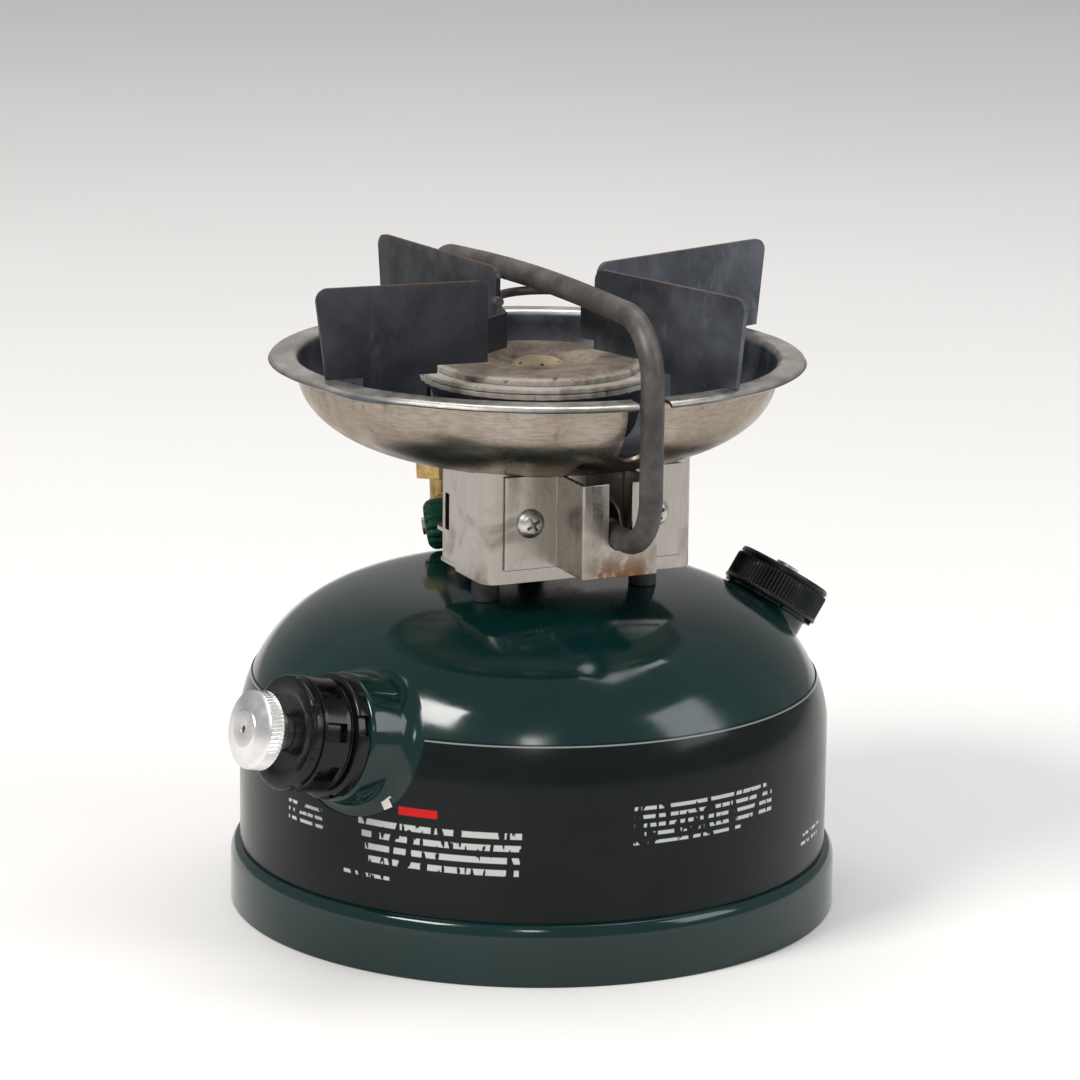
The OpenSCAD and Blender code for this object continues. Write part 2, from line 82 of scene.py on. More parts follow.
# Driving sizes, read from the frame where a node gives them
TANK_R = extent("fuel_tank")[1].x
DOME_BASE = 46.0
DOME_RISE = extent("fuel_tank")[1].z - DOME_BASE
DOME_POWER_R = 0.5
DOME_POWER_Z = 1.176
TANK_WALL = 1.2
BASE_R = extent("base_ring")[1].x
BASE_H = extent("base_ring")[1].z
LABEL_TOP = extent("label_wrap")[1].z
LABEL_T = 0.25
RIM_R = extent("drip_pan")[1].x
RIM_Z = extent("drip_pan")[1].z
BOWL_R = 58.8
BOWL_DEPTH = 25.4
BOWL_POWER = 0.8
PAN_T = 0.8
NOTCH_HALF = 3.9
NOTCH_LOW = 120.0
PIPE_R = 8.0
RINGS_R = extent("burner_rings")[1].x
RINGS_Z = extent("burner_rings")[0].z
CAP_Z0 = extent("burner_rings")[1].z
CAP_Z1 = extent("burner_cap")[1].z - 0.1
CAP_R = extent("burner_cap")[1].x
COLLAR_R = 15.4
COLLAR_BORE_R = 12.5
COLLAR_TOP = 3.0
PUMP_CAP_R = 13.6
PUMP_CAP_FRONT = 18.0
PUMP_CAP_RING_R = 14.9
PUMP_KNOB_R = 9.3
PUMP_KNOB_BACK = 19.6
PUMP_ROD_R = 4.05
NECK_R = 10.6
NECK_TOP = 4.2
FILLER_CAP_R = 12.6
CONTROL_KNOB_R = 6.4
VALVE_Y = 38.0
VALVE_HOLE_R = 4.5
GENERATOR_R = 2.8
GENERATOR_BORE_R = 2.0
GENERATOR_START = 6.4
GENERATOR_LEAN = 6
# Straight length, turn in degrees and bend radius of each leg
GENERATOR_ROUTE = [(46.4, -92, 11), (12, -5, 800), (18.5, -89, 15), (26.6, -90, 12.5), (9.8, 0, 0)]
SCREW_HEAD_R = 3.5
SCREW_HEAD_H = 2.0
WIRE_CENTRE = (0.9, -3.45)
WIRE_BEND_R = 12.5
WIRE_R = 1.1


def turned(origin, plan, lean):
    """Frame in millimetres whose local Z leans from vertical towards a plan angle."""
    return (Matrix.Translation(origin) @ Matrix.Rotation(math.radians(plan), 4, "Z")
            @ Matrix.Rotation(math.radians(lean), 4, "Y"))


PUMP = turned((-63.7, -32.5, 55.2), 189.8, 90 - 12.5)
FILLER = turned((64, 0, 67), 0, 32.6)
CONTROL = turned((0, VALVE_Y, 87.4), 155, 90 + 10)
OUTLET = turned((0, 56.3, 88), 90, GENERATOR_LEAN)


# ------------------------------------------------------------------ mesh tools

def shade(obj, sharp):
    """Smooth shading with edges over an angle in degrees kept sharp."""
    obj.data.shade_smooth()
    obj.data.set_sharp_from_angle(angle=math.radians(sharp))


def build(name, bm, place=None, sharp=38, outward=True):
    """Turns a bmesh in millimetres into an object in metres."""
    if place is not None:
        bm.transform(place)
    bmesh.ops.remove_doubles(bm, verts=bm.verts, dist=1e-3)
    if outward:
        bmesh.ops.recalc_face_normals(bm, faces=bm.faces)
    bm.transform(Matrix.Scale(MM, 4))
    mesh = bpy.data.meshes.new(name)
    bm.to_mesh(mesh)
    bm.free()
    obj = bpy.data.objects.new(name, mesh)
    bpy.context.scene.collection.objects.link(obj)
    shade(obj, sharp)
    return obj


def soften(corners, steps=4):
    """Profile with rounded corners. A corner is (radius, height) or (radius, height, rounding)."""
    points = []
    for i, corner in enumerate(corners):
        here = Vector(corner[:2])
        if len(corner) < 3:
            points.append(tuple(here))
            continue
        before = Vector(corners[i - 1][:2]) - here
        after = Vector(corners[(i + 1) % len(corners)][:2]) - here
        start = here + before.normalized() * min(corner[2], before.length * 0.49)
        end = here + after.normalized() * min(corner[2], after.length * 0.49)
        for k in range(steps + 1):
            t = k / steps
            points.append(tuple(start * (1 - t) ** 2 + here * 2 * t * (1 - t) + end * t * t))
    return points


def lathe(name, profile, place=None, segments=192, closed=True, shape=None, sharp=38):
    """Surface of revolution about local Z. shape(angle, radius, height) may give a new radius."""
    bm = bmesh.new()
    rings = []
    for r, z in profile:
        if r < 1e-3:
            rings.append([bm.verts.new((0, 0, z))])
            continue
        ring = []
        for k in range(segments):
            a = 2 * math.pi * k / segments
            q = shape(a, r, z) if shape else r
            ring.append(bm.verts.new((q * math.cos(a), q * math.sin(a), z)))
        rings.append(ring)
    others = rings[1:] + rings[:1] if closed else rings[1:]
    for low, high in zip(rings, others):
        for k in range(segments):
            corners = [low[k % len(low)], low[(k + 1) % len(low)],
                       high[(k + 1) % len(high)], high[k % len(high)]]
            face = list(dict.fromkeys(corners))
            if len(face) > 2:
                bm.faces.new(face)
    return build(name, bm, place, sharp)


def tube(name, points, radius, sides=28, bore=0.0):
    """Round tube along a list of points, with an open bore if one is given."""
    points = [Vector(p) for p in points]
    bm = bmesh.new()
    side = Vector((1, 0, 0))
    walls = [[], []]
    for i, p in enumerate(points):
        ahead = (points[min(i + 1, len(points) - 1)] - points[max(i - 1, 0)]).normalized()
        side = (side - ahead * side.dot(ahead)).normalized()
        up = ahead.cross(side)
        for wall, r in zip(walls, (radius, bore)):
            if r:
                wall.append([bm.verts.new(p + (side * math.cos(a) + up * math.sin(a)) * r)
                             for a in (2 * math.pi * k / sides for k in range(sides))])
    for wall in walls:
        for low, high in zip(wall, wall[1:]):
            for k in range(sides):
                n = (k + 1) % sides
                bm.faces.new((low[k], low[n], high[n], high[k]))
    for end in (0, -1):
        if bore:
            outer, inner = walls[0][end], walls[1][end]
            for k in range(sides):
                n = (k + 1) % sides
                bm.faces.new((outer[k], outer[n], inner[n], inner[k]))
        else:
            bm.faces.new(walls[0][end])
    return build(name, bm)


def apply_modifiers(obj):
    """Replaces the piece's mesh by what its modifiers make of it."""
    graph = bpy.context.evaluated_depsgraph_get()
    mesh = bpy.data.meshes.new_from_object(obj.evaluated_get(graph))
    obj.modifiers.clear()
    obj.data = mesh


def cut(obj, cutters, sharp=38):
    """Takes the cutters out of the piece and removes them."""
    for cutter in cutters:
        hole = obj.modifiers.new("hole", "BOOLEAN")
        hole.operation = "DIFFERENCE"
        hole.solver = "EXACT"
        hole.object = cutter
    apply_modifiers(obj)
    for cutter in cutters:
        bpy.data.objects.remove(cutter)
    shade(obj, sharp)


def peg(place, radius, z0, z1, segments=96):
    """Plain cylinder, used only as a cutter."""
    return lathe("cutter", [(0, z0), (radius, z0), (radius, z1), (0, z1)], place, segments,
                 closed=False)


def bar(place, x, y, z0, z1):
    """Plain block of half widths x and y, used only as a cutter."""
    bm = bmesh.new()
    bmesh.ops.create_cube(bm, size=1)
    bm.transform(Matrix.Translation((0, 0, (z0 + z1) / 2)) @ Matrix.Diagonal((2 * x, 2 * y, z1 - z0, 1)))
    return build("cutter", bm, place)


def refined(node, width=0.25, angle=38):
    """Copy of a CAD node with its flat faces merged and its sharp edges rounded."""
    source = NODES[node].data
    bm = bmesh.new()
    verts = [bm.verts.new(v.co / MM) for v in source.vertices]
    for polygon in source.polygons:
        corners = list(dict.fromkeys(verts[i] for i in polygon.vertices))
        if len(corners) > 2 and bm.faces.get(corners) is None:
            bm.faces.new(corners)
    bmesh.ops.remove_doubles(bm, verts=bm.verts, dist=2e-3)
    bmesh.ops.dissolve_limit(bm, angle_limit=math.radians(0.6), verts=bm.verts, edges=bm.edges)
    obj = build(node + "_detail", bm)
    obj.data.shade_smooth()
    edges = obj.modifiers.new("edges", "BEVEL")
    edges.width = width * MM
    edges.segments = 2
    edges.limit_method = "ANGLE"
    edges.angle_limit = math.radians(angle)
    edges.miter_outer = "MITER_ARC"
    flat = obj.modifiers.new("flat_faces", "WEIGHTED_NORMAL")
    flat.keep_sharp = True
    return obj


def settle(obj, finish, slot, *nodes):
    """Gives a piece its finish, its body and the CAD nodes that it stands for."""
    if not obj.data.materials:
        obj.data.materials.append(FINISHES[finish])
    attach(obj, NODES[nodes[0]]["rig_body"])
    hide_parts(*nodes)
    return obj


# ------------------------------------------------------------------ materials

class Finish:
    """A Principled material whose nodes work in object space, so it stays put on its piece."""

    def __init__(self, name, **sockets):
        self.material = bpy.data.materials.new(name)
        self.material.use_nodes = True
        self.tree = self.material.node_tree
        self.shader = self.tree.nodes["Principled BSDF"]
        self.point = self.add("ShaderNodeTexCoord").outputs["Object"]
        for socket, value in sockets.items():
            self.put(socket.replace("_", " "), value)

    def add(self, kind, **settings):
        node = self.tree.nodes.new(kind)
        for key, value in settings.items():
            setattr(node, key, value)
        return node

    def feed(self, socket, value):
        if isinstance(value, bpy.types.NodeSocket):
            self.tree.links.new(value, socket)
        elif isinstance(value, tuple) and len(value) == 3 and socket.type == "RGBA":
            socket.default_value = (*value, 1)
        else:
            socket.default_value = value

    def put(self, socket, value):
        self.feed(self.shader.inputs[socket], value)

    def stretch(self, x, y, z):
        """Object coordinates scaled per axis."""
        node = self.add("ShaderNodeVectorMath", operation="MULTIPLY")
        self.feed(node.inputs[0], self.point)
        node.inputs[1].default_value = (x, y, z)
        return node.outputs[0]

    def noise(self, scale, detail=4.0, rough=0.55, warp=0.0, at=None):
        node = self.add("ShaderNodeTexNoise")
        self.feed(node.inputs["Vector"], at or self.point)
        node.inputs["Scale"].default_value = scale
        node.inputs["Detail"].default_value = detail
        node.inputs["Roughness"].default_value = rough
        node.inputs["Distortion"].default_value = warp
        return node.outputs["Fac"]

    def math(self, operation, a, b=0.0):
        node = self.add("ShaderNodeMath", operation=operation)
        self.feed(node.inputs[0], a)
        self.feed(node.inputs[1], b)
        return node.outputs[0]

    def axis(self, index, source=None):
        node = self.add("ShaderNodeSeparateXYZ")
        self.feed(node.inputs[0], source or self.point)
        return node.outputs[index]

    def mask(self, value, low, high, out_low=0.0, out_high=1.0):
        """Smooth step of a value between two levels."""
        node = self.add("ShaderNodeMapRange", interpolation_type="SMOOTHSTEP")
        self.feed(node.inputs["Value"], value)
        node.inputs["From Min"].default_value = low
        node.inputs["From Max"].default_value = high
        node.inputs["To Min"].default_value = out_low
        node.inputs["To Max"].default_value = out_high
        return node.outputs[0]

    def band(self, value, low, high, soft):
        """1 between two levels of a value and 0 outside."""
        return self.math("MULTIPLY", self.mask(value, low - soft, low + soft),
                         self.mask(value, high - soft, high + soft, 1.0, 0.0))

    def mix(self, factor, a, b):
        node = self.add("ShaderNodeMix", data_type="RGBA")
        self.feed(node.inputs[0], factor)
        self.feed(node.inputs[6], a)
        self.feed(node.inputs[7], b)
        return node.outputs[2]

    def blend(self, factor, a, b):
        node = self.add("ShaderNodeMix", data_type="FLOAT")
        self.feed(node.inputs[0], factor)
        self.feed(node.inputs[2], a)
        self.feed(node.inputs[3], b)
        return node.outputs[0]

    def bump(self, height, depth, strength=1.0, base=None):
        """Bump of a depth in millimetres; a later call can build on an earlier one."""
        node = self.add("ShaderNodeBump")
        node.inputs["Strength"].default_value = strength
        node.inputs["Distance"].default_value = depth * MM
        self.feed(node.inputs["Height"], height)
        if base is not None:
            self.feed(node.inputs["Normal"], base)
        self.put("Normal", node.outputs[0])
        return node.outputs[0]

    def distance_from_axis(self):
        square = [self.math("MULTIPLY", self.axis(i), self.axis(i)) for i in (0, 1)]
        return self.math("SQRT", self.math("ADD", *square))


def tank_paint():
    """Deep green gloss enamel with faint colour drift, orange peel and a little dust."""
    f = Finish("tank_paint", Specular_IOR_Level=0.42)
    drift = f.mask(f.noise(14, 3), 0.3, 0.7)
    deep = f.mix(drift, (0.0016, 0.0165, 0.0155), (0.0024, 0.0225, 0.021))
    dust = f.mask(f.noise(900, 3, 0.7), 0.66, 0.78, 0.0, 0.35)
    f.put("Base Color", f.mix(dust, deep, (0.06, 0.075, 0.07)))
    f.put("Roughness", f.mask(f.noise(55, 6, 0.65), 0.35, 0.75, 0.07, 0.2))
    f.bump(f.noise(420, 2), 0.02, 0.35)
    return f.material


def label_black():
    """Black printed wrap: a pale edge line and plain bars where small print would be."""
    f = Finish("label_black", Specular_IOR_Level=0.16)
    angle = f.math("ARCTAN2", f.axis(1), f.axis(0))
    along = f.math("MULTIPLY", angle, TANK_R * MM)
    height = f.axis(2)
    black = f.mix(f.mask(f.noise(30, 4), 0.3, 0.7), (0.004, 0.0062, 0.0062), (0.007, 0.0098, 0.0096))
    printed = f.mix(f.band(height, (LABEL_TOP - 0.65) * MM, (LABEL_TOP - 0.3) * MM, 0.00006),
                    black, (0.22, 0.24, 0.22))
    gaps = f.mask(f.noise(520, 1.5, at=f.stretch(1, 1, 0.3)), 0.44, 0.47)
    for centre, half, low, high, tint in LABEL_BARS:
        middle = math.radians(centre) * TANK_R * MM
        row = f.math("MULTIPLY", f.band(along, middle - half * MM, middle + half * MM, 0.00012),
                     f.band(height, low * MM, high * MM, 0.00012))
        if tint == "red":
            printed = f.mix(row, printed, (0.55, 0.008, 0.01))
        else:
            printed = f.mix(f.math("MULTIPLY", row, gaps), printed, (0.5, 0.52, 0.5))
    f.put("Base Color", printed)
    f.put("Roughness", f.mask(f.noise(80, 5, 0.6), 0.3, 0.75, 0.14, 0.26))
    f.bump(f.noise(500, 3), 0.02, 0.3)
    return f.material


def white_print():
    """Matt white ink of the arrow mark, slightly worn."""
    f = Finish("white_print", Roughness=0.5)
    f.put("Base Color", f.mix(f.mask(f.noise(900, 4, 0.7), 0.55, 0.8), (0.78, 0.77, 0.72),
                              (0.45, 0.44, 0.4)))
    f.put("Roughness", f.mask(f.noise(400, 3), 0.3, 0.7, 0.4, 0.6))
    return f.material


def pan_outside():
    """Stainless sheet seen from outside: brushed rings, brown heat tint and water marks."""
    f = Finish("pan_outside", Metallic=1.0, Anisotropic=0.3)
    height = f.axis(2)
    low_tint = f.mask(height, 0.113, 0.1345, 1.0, 0.0)
    patches = f.mask(f.noise(26, 5, 0.6, 0.6), 0.36, 0.68)
    tint = f.math("MULTIPLY", patches, f.math("ADD", f.math("MULTIPLY", low_tint, 0.5), 0.5))
    steel = f.mix(f.mask(f.noise(300, 4, at=f.stretch(1, 1, 7)), 0.35, 0.65),
                  (0.3, 0.265, 0.225), (0.4, 0.36, 0.31))
    warm = f.mix(tint, steel, (0.215, 0.145, 0.085))
    streaks = f.mask(f.noise(160, 4, 0.7, at=f.stretch(1, 1, 0.22)), 0.56, 0.74, 0.0, 0.55)
    dirty = f.mix(streaks, warm, (0.1, 0.07, 0.046))
    spots = f.mask(f.noise(700, 3, 0.6), 0.68, 0.74, 0.0, 0.7)
    f.put("Base Color", f.mix(spots, dirty, (0.06, 0.04, 0.025)))
    f.put("Roughness", f.blend(patches, 0.26, f.mask(f.noise(220, 5), 0.3, 0.7, 0.3, 0.48)))
    rings = f.bump(f.noise(1500, 2, at=f.stretch(0.04, 0.04, 1)), 0.01, 0.35)
    f.bump(f.noise(60, 3), 0.12, 0.3, rings)
    return f.material


def pan_inside():
    """Inside of the pan: blue-grey soot in the bowl, bright worn metal on the lip."""
    f = Finish("pan_inside", Metallic=0.9)
    height = f.axis(2)
    lip = f.mask(height, (RIM_Z - 1.6) * MM, (RIM_Z - 0.25) * MM)
    soot = f.mix(f.mask(f.noise(38, 6, 0.65), 0.35, 0.68), (0.045, 0.052, 0.068),
                 (0.16, 0.165, 0.185))
    burnt = f.mix(f.mask(f.noise(120, 5, 0.7), 0.56, 0.72), soot, (0.075, 0.05, 0.035))
    steel = f.mix(f.mask(f.noise(70, 5, 0.6), 0.35, 0.72), (0.62, 0.59, 0.55), (0.36, 0.31, 0.26))
    f.put("Base Color", f.mix(lip, burnt, steel))
    f.put("Roughness", f.blend(lip, f.mask(f.noise(150, 4), 0.3, 0.7, 0.42, 0.65),
                               f.mask(f.noise(200, 4), 0.3, 0.7, 0.24, 0.42)))
    f.bump(f.noise(160, 5, 0.6), 0.06, 0.4)
    return f.material


def box_steel():
    """Bent stainless sheet: rolled grain, smudges and brown stains near the hook of the tube."""
    f = Finish("box_steel", Metallic=1.0)
    grain = f.mask(f.noise(420, 4, 0.6, at=f.stretch(1, 1, 0.12)), 0.35, 0.65)
    steel = f.mix(grain, (0.36, 0.335, 0.3), (0.43, 0.4, 0.365))
    smudge = f.mask(f.noise(70, 5, 0.62, 0.8), 0.47, 0.7, 0.0, 0.8)
    worn = f.mix(smudge, steel, (0.25, 0.215, 0.175))
    under_hook = f.math("MULTIPLY", f.band(f.axis(0), -0.0075, 0.008, 0.003),
                        f.math("MULTIPLY", f.mask(f.axis(2), 0.0915, 0.1005, 1.0, 0.0),
                               f.mask(f.axis(1), -0.0465, -0.0455, 1.0, 0.0)))
    rust = f.math("MULTIPLY", under_hook, f.mask(f.noise(240, 5, 0.7), 0.36, 0.56))
    stained = f.mix(rust, worn, (0.14, 0.058, 0.014))
    specks = f.mask(f.noise(900, 3, 0.6), 0.7, 0.76, 0.0, 0.8)
    f.put("Base Color", f.mix(specks, stained, (0.07, 0.04, 0.02)))
    f.put("Metallic", f.blend(rust, 1.0, 0.35))
    f.put("Roughness", f.blend(smudge, f.mask(grain, 0.0, 1.0, 0.24, 0.34), 0.46))
    fine = f.bump(grain, 0.012, 0.4)
    f.bump(f.noise(45, 3), 0.15, 0.25, fine)
    return f.material


def blade_steel(name, cool, dark):
    """Heat-blued sheet steel with chalky smudges and rusty edges."""
    f = Finish(name, Metallic=0.55)
    cloud = f.mask(f.noise(42, 6, 0.62, 0.5), 0.34, 0.68)
    base = f.mix(cloud, dark, cool)
    smear = f.mask(f.noise(110, 6, 0.7, at=f.stretch(1, 1, 0.45)), 0.54, 0.74, 0.0, 0.5)
    chalk = f.mix(smear, base, tuple(min(1.0, c * 1.9) for c in cool))
    top = (extent("left_pot_support")[1].z) * MM
    edge = f.math("MULTIPLY", f.mask(f.axis(2), top - 0.0016, top - 0.0003),
                  f.mask(f.noise(210, 4, 0.7), 0.4, 0.62))
    rust = f.mask(f.noise(260, 4, 0.65), 0.67, 0.74, 0.0, 0.85)
    spotted = f.mix(f.math("MAXIMUM", f.math("MULTIPLY", edge, 0.5), rust), chalk,
                    (0.11, 0.055, 0.028))
    f.put("Base Color", spotted)
    f.put("Roughness", f.mask(f.noise(160, 5), 0.3, 0.7, 0.4, 0.62))
    f.bump(f.noise(330, 5, 0.6), 0.05, 0.4)
    return f.material


def tube_steel():
    """Oxidised dark tube, browner and rougher where the flame heats it."""
    f = Finish("tube_steel", Metallic=0.35)
    hot = f.mask(f.axis(2), 0.128, 0.15)
    scale_skin = f.mask(f.noise(130, 6, 0.65), 0.34, 0.68)
    cold = f.mix(scale_skin, (0.045, 0.042, 0.042), (0.085, 0.078, 0.074))
    burnt = f.mix(scale_skin, (0.06, 0.053, 0.05), (0.135, 0.118, 0.105))
    specks = f.mask(f.noise(520, 4, 0.65), 0.62, 0.72, 0.0, 0.55)
    f.put("Base Color", f.mix(specks, f.mix(hot, cold, burnt), (0.17, 0.1, 0.06)))
    f.put("Roughness", f.mask(f.noise(210, 4), 0.3, 0.7, 0.42, 0.64))
    f.bump(f.noise(380, 5, 0.6), 0.07, 0.5)
    return f.material


def burner_steel():
    """Burner plates baked to a chalky tan, with dark pits."""
    f = Finish("burner_steel", Metallic=0.15)
    bake = f.mask(f.noise(95, 6, 0.66, 0.6), 0.33, 0.68)
    tan = f.mix(bake, (0.12, 0.09, 0.068), (0.3, 0.245, 0.19))
    rim = f.mask(f.distance_from_axis(), (CAP_R - 2.0) * MM, (CAP_R - 0.3) * MM)
    pale = f.mix(f.math("MULTIPLY", rim, f.mask(f.noise(150, 4), 0.25, 0.5)), tan,
                 (0.38, 0.345, 0.3))
    heart = f.mask(f.distance_from_axis(), 0.0055, 0.0068, 0.8, 0.0)
    warm = f.mix(heart, pale, (0.5, 0.39, 0.25))
    pits = f.mask(f.noise(330, 4, 0.7), 0.6, 0.7, 0.0, 0.85)
    f.put("Base Color", f.mix(pits, warm, (0.055, 0.038, 0.03)))
    f.put("Roughness", f.mask(f.noise(180, 4), 0.3, 0.7, 0.68, 0.9))
    f.bump(f.noise(340, 6, 0.65), 0.16, 0.7)
    return f.material


def plain_metal(name, tone, shadow, rough, metallic=1.0):
    """Small metal parts: two tones of tarnish, fine scratches."""
    f = Finish(name, Metallic=metallic)
    tarnish = f.mask(f.noise(140, 5, 0.65), 0.35, 0.7)
    spots = f.mask(f.noise(650, 4, 0.6), 0.62, 0.74, 0.0, 0.6)
    f.put("Base Color", f.mix(spots, f.mix(tarnish, tone, shadow),
                              tuple(c * 0.35 for c in shadow)))
    f.put("Roughness", f.mask(f.noise(300, 5), 0.3, 0.7, rough, rough + 0.18))
    f.bump(f.noise(700, 4), 0.02, 0.4)
    return f.material


def turned_aluminium():
    """Lathe-turned aluminium: fine rings around the pump axis."""
    f = Finish("aluminium", Metallic=1.0)
    axis = PUMP.to_3x3() @ Vector((0, 0, 1))
    anchor = PUMP.translation * MM
    offset = f.add("ShaderNodeVectorMath", operation="SUBTRACT")
    f.feed(offset.inputs[0], f.point)
    offset.inputs[1].default_value = anchor
    along = f.add("ShaderNodeVectorMath", operation="DOT_PRODUCT")
    f.feed(along.inputs[0], offset.outputs[0])
    along.inputs[1].default_value = axis
    radial = f.add("ShaderNodeVectorMath", operation="CROSS_PRODUCT")
    f.feed(radial.inputs[0], offset.outputs[0])
    radial.inputs[1].default_value = axis
    length = f.add("ShaderNodeVectorMath", operation="LENGTH")
    f.feed(length.inputs[0], radial.outputs[0])
    out = length.outputs["Value"]
    turning = f.math("SINE", f.math("MULTIPLY", out, 2 * math.pi / 0.00022))
    stain = f.mask(f.noise(160, 5, 0.6), 0.4, 0.75)
    f.put("Base Color", f.mix(stain, (0.83, 0.82, 0.82), (0.66, 0.645, 0.62)))
    f.put("Roughness", f.mask(f.noise(260, 4), 0.3, 0.7, 0.28, 0.42))
    rings = f.bump(turning, 0.004, 0.5)
    f.bump(f.noise(500, 4), 0.02, 0.3, rings)
    return f.material


def plastic(name, tone, dusty, rough):
    """Moulded plastic with handling wear and settled dust."""
    f = Finish(name, Specular_IOR_Level=0.28)
    dust = f.mask(f.noise(240, 6, 0.68), 0.55, 0.8, 0.0, 0.7)
    f.put("Base Color", f.mix(dust, tone, dusty))
    f.put("Roughness", f.mask(f.noise(120, 5, 0.6), 0.3, 0.72, rough, rough + 0.2))
    f.bump(f.noise(520, 4), 0.02, 0.35)
    return f.material


def studio_floor():
    """Plain pale matt floor."""
    f = Finish("studio_floor", Roughness=0.65)
    f.put("Base Color", f.mix(f.mask(f.noise(3, 3), 0.3, 0.7), (0.82, 0.8, 0.78), (0.84, 0.82, 0.8)))
    return f.material


# Plain bars printed on the label: plan angle, half length, bottom, top, tint
LABEL_BARS = [
    (-136.6, 4.9, 39.2, 41.2, "red"),
    *((-133.0 + 0.3 * i, 20.5 - 0.6 * i, z - 0.75, z + 0.75, "pale")
      for i, z in enumerate((36.2, 33.2, 30.2, 27.2))),
    (-147.5, 6.5, 22.6, 23.5, "pale"),
    *((-79.5, 20.5, z - 0.45, z + 0.45, "pale") for z in (42.0, 39.9, 37.8, 35.7)),
    (-84.0, 15.0, 33.2, 34.0, "pale"),
    (-45.5, 7.0, 24.4, 25.2, "pale"),
    (-46.5, 6.0, 22.3, 23.1, "pale"),
    *((-163.0, 6.5, z - 0.4, z + 0.4, "pale") for z in (36.0, 34.0, 32.0)),
]

FINISHES = {
    "tank_paint": tank_paint(),
    "label_black": label_black(),
    "white_print": white_print(),
    "pan_outside": pan_outside(),
    "pan_inside": pan_inside(),
    "stainless": box_steel(),
    # Both pot supports are the same heat-blued steel: the left copy is darker as painted shade, the
    # right copy lighter as painted light.
    "blade_painted_light_left": blade_steel("blade_painted_light_left", (0.05, 0.054, 0.064), (0.02, 0.022, 0.027)),
    "blade_painted_light_right": blade_steel("blade_painted_light_right", (0.115, 0.125, 0.145), (0.045, 0.05, 0.06)),
    "tube_steel": tube_steel(),
    "burner_steel": burner_steel(),
    "brass": plain_metal("brass", (0.58, 0.42, 0.17), (0.3, 0.2, 0.08), 0.28),
    "bare_steel": plain_metal("bare_steel", (0.6, 0.59, 0.57), (0.34, 0.32, 0.29), 0.26),
    "dark_steel": plain_metal("dark_steel", (0.05, 0.05, 0.055), (0.025, 0.025, 0.028), 0.4, 0.5),
    "aluminium": turned_aluminium(),
    "black_plastic": plastic("black_plastic", (0.004, 0.004, 0.0045), (0.02, 0.019, 0.018), 0.12),
    "cap_plastic": plastic("cap_plastic", (0.004, 0.007, 0.007), (0.02, 0.026, 0.024), 0.2),
    "green_plastic": plastic("green_plastic", (0.006, 0.075, 0.045), (0.03, 0.09, 0.06), 0.3),
    "rubber": plastic("rubber", (0.015, 0.015, 0.015), (0.04, 0.04, 0.04), 0.6),
    "leather": plastic("leather", (0.13, 0.065, 0.03), (0.2, 0.12, 0.07), 0.55),
}
SLOTS = {part["node"]: part["material_slot"] for part in frame["record"]["subparts"]}
for node, obj in NODES.items():
    obj.data.materials.clear()
    obj.data.materials.append(FINISHES[SLOTS[node]])


# ------------------------------------------------------------------ tank

def dome_point(t, grow=0.0):
    """Dome profile at angle t in degrees, from the wall (0) to the apex (90)."""
    t = math.radians(t)
    return ((TANK_R + grow) * max(0.0, math.cos(t)) ** DOME_POWER_R,
            DOME_BASE + (DOME_RISE + grow) * math.sin(t) ** DOME_POWER_Z)


def dome_angle(z):
    """Angle in degrees at which the dome profile reaches a height."""
    return math.degrees(math.asin(((z - DOME_BASE) / DOME_RISE) ** (1 / DOME_POWER_Z)))


def inside_tank(p):
    """Whether a point lies inside the tank's outer surface."""
    r = math.hypot(p.x, p.y) / TANK_R
    if p.z <= DOME_BASE:
        return r < 1
    rise = (p.z - DOME_BASE) / DOME_RISE
    return r ** (2 / DOME_POWER_R) + rise ** (2 / DOME_POWER_Z) < 1


def tank_hit(place, radius, angle):
    """Local height at which a line along the frame's axis leaves the tank."""
    low, high = -25.0, 12.0
    for _ in range(40):
        middle = (low + high) / 2
        p = place @ Vector((radius * math.cos(angle), radius * math.sin(angle), middle))
        if inside_tank(p):
            low = middle
        else:
            high = middle
    return low


def flared_neck(name, place, bore, radius, top, spread, rounding, segments=144):
    """A neck that flares smoothly into the tank, closed through its bore."""
    bm = bmesh.new()
    columns = []
    steps = 10
    sunk = 2.5
    for k in range(segments):
        a = 2 * math.pi * k / segments
        foot = tank_hit(place, radius, a)
        rise = max(0.3, min(spread, top - rounding - foot - 0.2))
        edge = tank_hit(place, radius + spread, a)
        crest = max(top - rounding, foot + rise + 0.1)
        section = [(bore, top)]
        for i in range(5):
            q = math.pi / 2 * i / 4
            section.append((radius - rounding + rounding * math.sin(q),
                            crest + rounding * math.cos(q) - max(0.0, crest + rounding - top)))
        for i in range(steps + 1):
            t = i / steps
            start, middle, end = (1 - t) ** 2, 2 * t * (1 - t), t * t
            section.append((start * radius + middle * radius + end * (radius + spread),
                            start * (foot + rise) + middle * foot + end * (edge - 0.05)))
        section.append((radius, min(foot, edge) - sunk))
        section.append((bore, tank_hit(place, bore, a) - sunk))
        columns.append([bm.verts.new((r * math.cos(a), r * math.sin(a), z)) for r, z in section])
    for here, there in zip(columns, columns[1:] + columns[:1]):
        for i in range(len(here)):
            n = (i + 1) % len(here)
            bm.faces.new((here[i], there[i], there[n], here[n]))
    return build(name, bm, place, 50)


